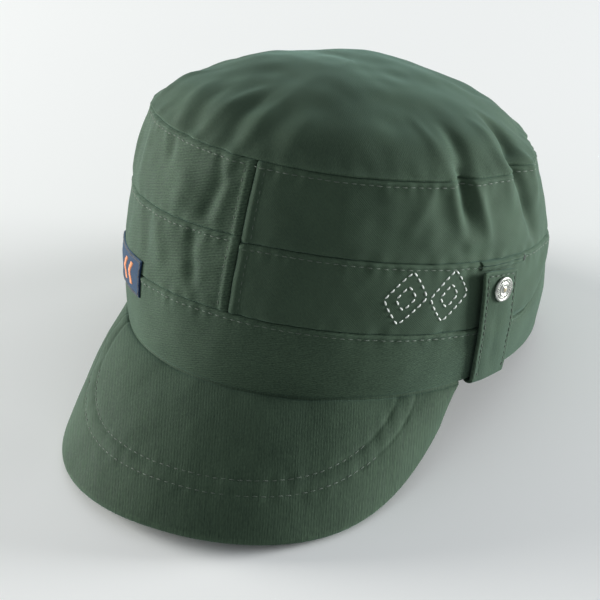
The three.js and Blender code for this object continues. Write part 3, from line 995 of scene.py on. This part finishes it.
def peak_stitches():
    lines = [peak_row(row, -0.1, 1) for row in PEAK_ROWS]
    lines += [peak_row(row, PEAK_THICK - 0.05, -1) for row in PEAK_ROWS]
    sew("peak_topstitch", lines, PEAK_THREAD, radius=0.2, pitch=3.4, gap=0.55, seed=6)


build_peak()
peak_stitches()

# ---- strips of cloth

def strip(name, deg, low, high, inner, outer, material, heading=20, rows=14, relief=nothing, round_edge=0.3):
    """A strip of the wall with rounded edges between two heights and two offsets."""
    d, z, near = wall_grid(deg, low + 0 * deg, high + 0 * deg, rows)
    near = np.minimum(np.minimum(d - deg.min(), deg.max() - d) * MM_PER_DEGREE, near)
    soft = curl(near, round_edge * 1.6, round_edge)
    extra = relief(d, z)
    weave = weave_field(d * MM_PER_DEGREE, z, heading)
    faces = wall(d, z, outer + soft + extra), wall(d, z, inner - soft + extra)
    return shell(name, *faces, material, weave, np.exp(-near / 0.8))


def border(deg0, deg1, low, high, inset, lift, relief=nothing, base=nothing):
    """Stitch lines inside a strip's edges, whose heights are measured from base."""
    step = inset / MM_PER_DEGREE
    d = np.linspace(deg0 + step, deg1 - step, 200)
    z = np.linspace(low + inset, high - inset, 60)
    lines = [wall_line(d, base(d) + edge, relief, lift) for edge in (z[0], z[-1])]
    for edge in (d[0], d[-1]):
        end = edge + 0 * z
        lines.append(wall_line(end, base(end) + z, relief, lift))
    return lines


TAPE_FACES = (-CLOTH - GAP - TAPE, -CLOTH - GAP)
TAPE_HALF = 3.4


def follow_top(deg, height):
    """How far a tape sinks and rises with the tier it is sewn to."""
    return np.minimum(soft_top(deg, height), 0.4)


def build_tapes():
    for name, middle, low_level in (("front_seam_tape", 0, BAND_SEAM), ("back_seam_tape", 180, MID_SEAM)):
        deg = graded(middle - TAPE_HALF, middle + TAPE_HALF, 0.3, (0, 0))
        low = level_height(low_level, deg) + 3
        high = level_height(TOP_SEAM, deg) - 10.74
        piece = strip(f"{name}_cloth", deg, low, high, *TAPE_FACES, BLACK, 90, 20,
                      lambda d, z: follow_top(d, z) - 1.0)
        finish_piece(piece, name, slot="seam_tape")
    deg = np.linspace(-180, 180, 481)[:-1]
    top = level_height(TOP_SEAM, deg) - 1.74
    d, z, near = wall_grid(deg, top - 8, top - 0.5, 6)
    soft = curl(near, 0.4, 0.25)
    ripple = 0.12 * np.cos(np.radians(d) * 60) * np.exp(-near / 3)
    follow = follow_top(d, z) - 0.3
    outer = wall(d, z, TAPE_FACES[1] + soft + follow)
    inner = wall(d, z, TAPE_FACES[0] - soft - ripple + follow)
    weave = weave_field(d * MM_PER_DEGREE, z, 0)
    piece = shell("crown_seam_tape_cloth", outer, inner, BLACK, weave, 0 * z, True)
    finish_piece(piece, "crown_seam_tape", slot="seam_tape")


def build_sweatband():
    deg = graded(-139, 139, 0.7)
    outer = TAPE_FACES[0] - GAP
    soft = lambda d, z: 0.14 * waves(d * 1.6, z, 16, 61)
    piece = strip("sweatband_cloth", deg, 0.5, 27.0, outer - 1, outer, LINING, 90, 20, soft, 0.35)
    finish_piece(piece, "sweatband", slot="lining")
    d = np.linspace(-138, 138, 1200)
    lines = []
    for z in (2.2, 24.6):
        lines.append((wall_line(d, z + 0 * d, soft, outer - 1.1)[0], -wall_normal(d)))
    sew("sweatband_stitch", lines, OLIVE_THREAD, "lining", seed=9)


def arch_point(angle, grow_deg, grow_rise):
    """Angle and height on an arch a little larger than the one cut in the band."""
    turn = np.radians(angle)
    return 180 - ARCH_HALF * grow_deg * np.cos(turn), ARCH_RISE * grow_rise * np.sin(turn)


def build_arch_facing():
    v = np.concatenate([EDGE / 12, np.linspace(0.33, 0.67, 8), 1 - EDGE[::-1] / 12])
    p, vv = np.meshgrid(np.linspace(42, 138, 160), v, indexing="ij")
    grow = 1 + vv * 6.0 / ARCH_RISE
    deg, z = arch_point(p, grow, grow)
    soft = curl(np.minimum(vv, 1 - vv) * 6, 0.5, 0.25)
    outer = wall(deg, z, TAPE_FACES[1] - 2 * GAP + soft)
    inner = wall(deg, z, TAPE_FACES[0] - 2 * GAP - soft)
    weave = weave_field(deg * MM_PER_DEGREE, z, 30)
    faces = inner[:, ::-1], outer[:, ::-1]
    piece = shell("arch_facing_cloth", *faces, OLIVE_PLAIN, weave[:, ::-1], 0 * z)
    finish_piece(piece, "arch_facing")
    grow_deg = 1 + 2.2 / (ARCH_HALF * MM_PER_DEGREE)
    d, h = arch_point(np.linspace(4, 176, 400), grow_deg, 1 + 2.6 / ARCH_RISE)
    sew("arch_topstitch", [wall_line(d, h, lambda d, h: band_relief(signed(d), h))], OLIVE_THREAD, seed=10)


build_tapes()
build_sweatband()
build_arch_facing()

# ---- label

# First and last angle, then bottom and top from the band seam.
LABEL = (-62, -34.5, -9.6, 6.2)
LABEL_LIFT = GAP + TAPE + 0.35
CHEVRON_STARTS = (-43.5, -48.5)


def band_seam_line(deg):
    return level_height(BAND_SEAM, deg)


def build_label():
    first, last, low, high = LABEL
    deg = graded(first, last, 0.4)
    seam = band_seam_line(deg)
    piece = strip("label_cloth", deg, seam + low, seam + high, GAP + 0.1, LABEL_LIFT, NAVY, 0, 20,
                  round_edge=0.2)
    finish_piece(piece, "front_label", slot="label")
    edge = []
    for inset in (0.45, 1.0):
        edge += border(*LABEL, inset, LABEL_LIFT + 0.02, base=band_seam_line)
    sew("label_edge_stitch", edge, BLACK_THREAD_AND_SHADOW, "label", radius=0.22, pitch=1.3, gap=0.1, dip=0.08, seed=12)
    bars = []
    for start in CHEVRON_STARTS:
        for k in range(15):
            rise = (k - 7) * 0.62
            lean = start + abs(rise) * 0.42
            d = np.linspace(lean, lean + 2.3, 8)
            bars.append(wall_line(d, band_seam_line(d) - 1.7 + rise, nothing, LABEL_LIFT + 0.12))
    sew("label_device", bars, ORANGE_THREAD, "label", radius=0.33, pitch=3.9, gap=0.1, dip=0.12, seed=13)


build_label()

# ---- side tab

TAB_HALF = TAB_WIDTH / 2
TAB_INSET = 1.9
TAB_HEADING = 78
TAB_HEM = 0.6
HEM_INSIDE = 1.35
TAIL = -10.5
TAIL_THICK = 0.75


def tab_middle(height):
    return lerp(TAB_ANGLE[0], TAB_ANGLE[1], height / TAB_HEIGHT)


def tab_offset(height):
    return lerp(TAB_STANDOFF[0], TAB_STANDOFF[1], np.clip(height / STUD_HEIGHT, 0, 1))


def tab_point(u, s, w):
    """Point of the tab: u across it, s along it from the hem, w through it.

    Below the hem it turns under and runs up inside the band, where it is sewn in.
    """
    height = np.maximum(s, TAB_HEM)
    deg = tab_middle(height) + u / MM_PER_DEGREE
    up = wall(deg, height, tab_offset(height) + w * TAB_THICK)
    under = np.clip(TAB_HEM - s, 0, None)
    # A half turn about the hem, then straight up inside.
    radius_in = (tab_offset(TAB_HEM) + HEM_INSIDE) / 2
    bend = math.pi * radius_in
    turn = np.clip(under / bend, 0, 1) * math.pi
    radius = radius_in + w * lerp(TAB_THICK, TAIL_THICK, smooth(under, 0, bend))
    off = tab_offset(TAB_HEM) - radius_in + radius * np.cos(turn)
    curved = wall(deg, 0 * off + TAB_HEM, off)
    curved[..., 2] = TAB_HEM - radius * 0.75 * np.sin(turn) + np.clip(under - bend, 0, None)
    return np.where((s >= TAB_HEM)[..., None], up, curved)


def slanted(u, s):
    """The tab's top edge and what is near it lean with the wall."""
    return s - TAB_SLANT * u * smooth(s, 30, TAB_HEIGHT)


def tab_line(u, s):
    n = wall_normal(tab_middle(slanted(u, s)) + u / MM_PER_DEGREE)
    return tab_point(u, slanted(u, s), 1 + 0 * u) + n * 0.02, n


def build_tab():
    middle = TAB_HALF - 4.2
    us = np.concatenate([-TAB_HALF + EDGE, np.linspace(-middle, middle, 13), TAB_HALF - EDGE[::-1]])
    body = np.linspace(TAB_HEM, TAB_HEIGHT - 3.6, 52)[:-1]
    ss = np.concatenate([np.linspace(TAIL, TAB_HEM, 40)[:-1], body, TAB_HEIGHT - EDGE[::-1]])
    u, s = np.meshgrid(us, ss, indexing="ij")
    corner = smooth(s, TAB_HEIGHT - 2.2, TAB_HEIGHT) * np.clip(np.abs(u) / TAB_HALF, 0, 1) ** 8
    run = slanted(u, s) - 0.9 * corner
    near = np.minimum(TAB_HALF - np.abs(u), TAB_HEIGHT - s)
    edge = curl(near, 0.75, 0.55)
    crease = bump(u, -1.2 - 0.03 * s, 2.4) * smooth(s, 2, 14) * (1 - smooth(s, 26, 34))
    relief = edge - 0.2 * bump(near, TAB_INSET, 0.55) * (s > 2) + 0.22 * smooth(near, 2.5, 6)
    relief = relief - 0.3 * crease + 0.12 * waves(u, s, 15, 71)
    outer = tab_point(u, run, 1 + relief / TAB_THICK)
    inner = tab_point(u, run, -0.8 * edge / TAB_THICK)
    weave = weave_field(u, s, TAB_HEADING)
    piece = shell("tab_cloth_left", outer, inner, OLIVE, weave, np.exp(-near / 0.8))
    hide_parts("tab_left")
    side_s = np.linspace(2.0, TAB_HEIGHT - TAB_INSET - 0.4, 160)
    top_u = np.linspace(-TAB_HALF + TAB_INSET, TAB_HALF - TAB_INSET, 60)
    lines = [tab_line(edge + 0 * side_s, side_s) for edge in (top_u[0], top_u[-1])]
    lines.append(tab_line(top_u, TAB_HEIGHT - TAB_INSET + 0 * top_u))
    threads = thread_mesh("tab_topstitch_left", lines, PEAK_THREAD, 0.22, 3.0, 0.8, seed=14)
    hem = to_frame(wall(TAB_ANGLE[0], -0.5, 2.0))
    free = to_frame(wall(tab_middle(9.0), 9.0, 3.0))
    for part in (piece, threads):
        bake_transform(part)


# ---- press stud

def across(out):
    """Two directions square to the stud's axis and to each other."""
    side = unit(np.cross(out, [0, 0, 1.0]))
    return side, np.cross(side, out)


def turned(profile, place, out, segments=64):
    """Points and faces turned about an axis: profile points are (radius, height)."""
    rows = np.array(profile, float)
    closed = np.allclose(rows[0], rows[-1])
    if closed:
        rows = rows[:-1]
    side, up = across(out)
    turn = np.linspace(0, 2 * math.pi, segments + 1)[:-1, None, None]
    verts = place + (np.cos(turn) * side + np.sin(turn) * up) * rows[:, :1] + out * rows[:, 1:]
    nu, nv = verts.shape[:2]
    verts = verts.reshape(-1, 3)
    i = np.arange(nu)[:, None]
    j = np.arange(nv if closed else nv - 1)[None]
    k, m = (i + 1) % nu, (j + 1) % nv
    quads = np.stack([i * nv + j, i * nv + m, k * nv + m, k * nv + j], -1).reshape(-1, 4)
    apart = np.linalg.norm(verts[quads] - verts[np.roll(quads, 1, 1)], axis=-1) > 1e-6
    return verts, [q[keep] for q, keep in zip(quads, apart)]


def lathe(name, parts, material, sharp=35):
    """One object of turned parts, with their repeated points joined."""
    verts, faces, count = [], [], 0
    for points, corners in parts:
        verts.append(points)
        faces += [(q + count).tolist() for q in corners]
        count += len(points)
    piece = new_object(name, np.vstack(verts), faces, material, sharp=sharp)
    bm = bmesh.new()
    bm.from_mesh(piece.data)
    bmesh.ops.remove_doubles(bm, verts=bm.verts, dist=1e-7)
    bmesh.ops.recalc_face_normals(bm, faces=bm.faces)
    bm.to_mesh(piece.data)
    bm.free()
    return piece


def beads(place, out, radius, count, size):
    """A ring of small round beads."""
    side, up = across(out)
    tilt = np.linspace(0, math.pi, 6)
    ball = np.stack([np.sin(tilt), np.cos(tilt)], -1) * size
    ball[[0, -1], 0] = 0
    turns = 2 * math.pi * np.arange(count) / count
    return [turned(ball, place + (side * math.cos(a) + up * math.sin(a)) * radius, out, 10) for a in turns]


STUD_FOOT = 0.45
CAP_PROFILE = [(0, 0), (5.0, 0), (5.3, 0.12), (5.42, 0.4), (5.38, 0.8), (5.2, 1.1), (4.98, 1.22), (4.78, 1.2),
               (4.62, 1.0), (4.5, 0.92), (3.15, 0.92), (3.0, 1.0), (2.85, 1.22), (2.6, 1.32), (2.35, 1.22),
               (2.2, 1.02), (2.05, 0.95), (1.5, 0.98), (1.35, 1.15), (1.0, 1.42), (0.5, 1.55), (0, 1.58)]
DOT_PROFILE = [(0, 0), (0.95, 0.0), (0.9, 0.1), (0.6, 0.18), (0, 0.22)]
SOCKET_PROFILE = [(2.5, 0.1), (2.6, 0), (4.5, 0), (4.75, 0.12), (5, 0.4), (5, 1.2), (4.9, 1.4), (2.7, 1.4),
                  (2.5, 1.2), (2.5, 0.1)]
POST_PROFILE = [(0, 0), (4.2, 0), (4.5, 0.15), (4.5, 0.5), (4.3, 0.7), (2.2, 0.78), (1.75, 0.95),
                (1.65, 1.3), (1.95, 1.6), (1.95, 1.85), (1.6, 2.1), (0, 2.1)]
WASHER_PROFILE = [(1.2, 0.1), (1.3, 0), (4.3, 0), (4.5, 0.2), (4.5, 0.6), (4.3, 0.8), (1.3, 0.8), (1.2, 0.7),
                  (1.2, 0.1)]
# Name, profile, offset from the wall, body and CAD node of each hidden part.
HIDDEN_SNAPS = [
    ("socket_left", SOCKET_PROFILE, TAB_STANDOFF[1] - STUD_FOOT - 1.4, "left_tab", "snap_socket_left"),
    ("stud_post_left", POST_PROFILE, 1.15, "cap", "snap_stud_left"),
    ("washer_left", WASHER_PROFILE, -CLOTH - STUD_FOOT - 0.8, "cap", "snap_washer_left"),
]


def build_snaps():
    deg = tab_middle(STUD_HEIGHT)
    out = wall_normal(deg)
    place = wall(deg, STUD_HEIGHT, TAB_STANDOFF[1] + TAB_THICK + STUD_FOOT * 0.4)
    parts = [turned(CAP_PROFILE, place, out, 96)] + beads(place + out, out, 3.85, 26, 0.34)
    piece = lathe("stud_cap_left", parts, SILVER, 40)
    finish_piece(piece, "snap_cap_left", slot="snap_metal", body="left_tab")
    piece = lathe("stud_centre_left", [turned(DOT_PROFILE, place + out * 1.44, out, 40)], BRASS)
    finish_piece(piece, slot="snap_metal", body="left_tab")
    for name, profile, offset, body, node in HIDDEN_SNAPS:
        piece = lathe(name, [turned(profile, wall(deg, STUD_HEIGHT, offset), out)], SILVER)
        finish_piece(piece, node, slot="snap_metal", body=body)


def build_welt():
    """Narrow folded welt above the tab, in two folds, with a bar tack at its back end."""
    deg = graded(67.6, 85.6, 0.35)
    for name, drop, thick, nodes in (("a", 1.8, 0.6, ["tab_welt_left"]), ("b", 0.0, 0.75, [])):
        high = level_height(MID_SEAM, deg) - drop
        piece = strip(f"welt_{name}_left", deg, high - 1.5, high, GAP, GAP + thick, OLIVE_PLAIN, 8, 4,
                      mid_relief, 0.5)
        finish_piece(piece, *nodes)
    z = np.linspace(-3.6, -0.6, 14)
    lines = []
    for k in range(3):
        d = 85.9 + 0.25 * k + 0 * z
        lines.append(wall_line(d, level_height(MID_SEAM, d) + z, mid_relief, 0.7))
    sew("bar_tack_left", lines, BLACK_THREAD_AND_SHADOW, radius=0.22, pitch=3.0, gap=0.1, dip=0.2, seed=15)


build_tab()
build_snaps()
build_welt()

# ---- size strap at the back

LOOP_OUTER = -CLOTH - GAP
STRAP_MIDDLE = 14.5
STRAP_HEADING = 70
PATCH_INSET = 1.5
# The stitched cross that holds the hook patch, as pairs of angle and height.
CROSS = [((169, 7.5), (176, 21.5)), ((169, 21.5), (176, 7.5)), ((176, 7.5), (176, 21.5))]


def hook_rise(deg):
    return lerp(LOOP_OUTER, STRAP_OUT, smooth(deg, HOOK_ANGLES[0], LOOP_ANGLES[0] - 2))


def build_straps():
    low, high = STRAP_HEIGHTS
    look = (OLIVE, STRAP_HEADING, 16)
    soft = lambda d, z: 0.1 * waves(d * 1.6, z, 14, 81)
    deg = graded(*LOOP_ANGLES, 0.5)
    piece = strip("loop_strap_cloth", deg, low, high, LOOP_OUTER - CLOTH, LOOP_OUTER, *look, soft, 0.35)
    finish_piece(piece, "loop_strap")
    bowed = lambda d, z: hook_rise(d) - STRAP_OUT + 0.12 * waves(d * 1.6, z, 15, 82)
    deg = graded(*HOOK_ANGLES, 0.5)
    piece = strip("hook_strap_cloth", deg, low, high, STRAP_OUT - CLOTH, STRAP_OUT, *look, bowed, 0.35)
    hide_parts("hook_strap")
    lines = border(*HOOK_ANGLES, low, high, 2.0, STRAP_OUT + 0.08, bowed)
    t = np.linspace(0, 1, 40)
    for (deg0, z0), (deg1, z1) in CROSS:
        lines.append(wall_line(lerp(deg0, deg1, t), lerp(z0, z1, t), bowed, STRAP_OUT + 0.08))
    threads = thread_mesh("hook_strap_stitch", lines, OLIVE_THREAD, seed=16)
    start = tuple(to_frame(wall(HOOK_ANGLES[0] + 0.5, STRAP_MIDDLE, 0.0)))
    end = tuple(to_frame(wall(HOOK_ANGLES[0] + 6.5, STRAP_MIDDLE, 1.5)))
    for part in (piece, threads):
        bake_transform(part)


def build_patches():
    low, high = STRAP_HEIGHTS
    deg = graded(*PATCH_ANGLES, 0.6)
    loop_face, hook_face = LOOP_OUTER + GAP, STRAP_OUT - CLOTH - GAP
    for name, body, inner, outer in (("loop_patch", "cap", loop_face, loop_face + 0.5),
                                     ("hook_patch", "strap", hook_face - 0.45, hook_face)):
        piece = strip(f"{name}_cloth", deg, low + PATCH_INSET, high - PATCH_INSET, inner, outer, BLACK, 0, 10)
        finish_piece(piece, name, slot="hook_loop", body=body)
    rng = np.random.default_rng(83)
    loops, hooks = [], []
    line = np.linspace(-0.7, 0.7, 3)
    for _ in range(1500):
        d, z = rng.uniform(169.6, 203.4), rng.uniform(low + 2.2, high - 2.2)
        turn = rng.uniform(0, math.pi)
        d, z = d + line * math.cos(turn) / MM_PER_DEGREE, z + line * math.sin(turn)
        loops.append(wall_line(d, z, nothing, loop_face + 0.7))
    line = np.linspace(-0.35, 0.35, 3)
    for z in np.arange(low + 2.4, high - 2.0, 1.15):
        for d in np.arange(169.8, 203.3, 0.95):
            at = wall(d + line / MM_PER_DEGREE, z + 0 * line, hook_face - 0.7)
            hooks.append((at, -wall_normal(d + 0 * line)))
    sew("loop_patch_pile", loops, BLACK_THREAD_AND_SHADOW, "hook_loop", radius=0.07, pitch=1.4, gap=0.02, dip=0.25,
        seed=17)
    sew("hook_patch_pile", hooks, BLACK_THREAD_AND_SHADOW, "hook_loop", "strap", radius=0.1, pitch=0.7, gap=0.02,
        dip=0.28, seed=18)


build_straps()
build_patches()

# ---- CAD pieces that stay

for node in ("peak_board", "band_stiffener"):
    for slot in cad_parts[node].material_slots:
        slot.material = BOARD

# ---- floor and light

FLOOR_HALF = 4.0
LIGHT_DISTANCE = 1.6
SKY = rgb(0.92, 0.97, 1.0)
SKY_STRENGTH = 0.43


def build_stage():
    h = FLOOR_HALF
    mesh = bpy.data.meshes.new("floor")
    mesh.from_pydata([(-h, -h, 0), (h, -h, 0), (h, h, 0), (-h, h, 0)], [], [(0, 1, 2, 3)])
    g = Graph("floor_white")
    tone = g.noise(g.place(), 3.0, 1.0)
    g.set(Base_Color=g.mix(tone, rgb(0.89, 0.89, 0.89), rgb(0.92, 0.92, 0.92)), Roughness=0.9)
    mesh.materials.append(g.material)
    floor = bpy.data.objects.new("floor", mesh)
    bpy.context.scene.collection.objects.link(floor)


def soft_light(name, azimuth, elevation, size, power, color):
    data = bpy.data.lights.new(name, "AREA")
    data.shape = "DISK"
    data.size = size
    data.energy = power
    data.color = color
    light = bpy.data.objects.new(name, data)
    toward = direction(math.radians(azimuth), math.radians(elevation))
    light.location = AIM + toward * LIGHT_DISTANCE
    light.rotation_euler = toward.to_track_quat("Z", "Y").to_euler()
    bpy.context.scene.collection.objects.link(light)


def build_lights():
    world = bpy.data.worlds.new("studio")
    world.use_nodes = True
    sky = world.node_tree.nodes["Background"]
    sky.inputs["Color"].default_value = SKY
    sky.inputs["Strength"].default_value = SKY_STRENGTH
    bpy.context.scene.world = world
    soft_light("left_light", -84, 4.5, 1.0, 61, (1.0, 1.0, 0.95))
    soft_light("right_light", 126, 1.5, 0.85, 76, (0.98, 1.0, 1.0))
    bpy.context.scene.view_settings.view_transform = "Standard"


build_stage()
build_lights()
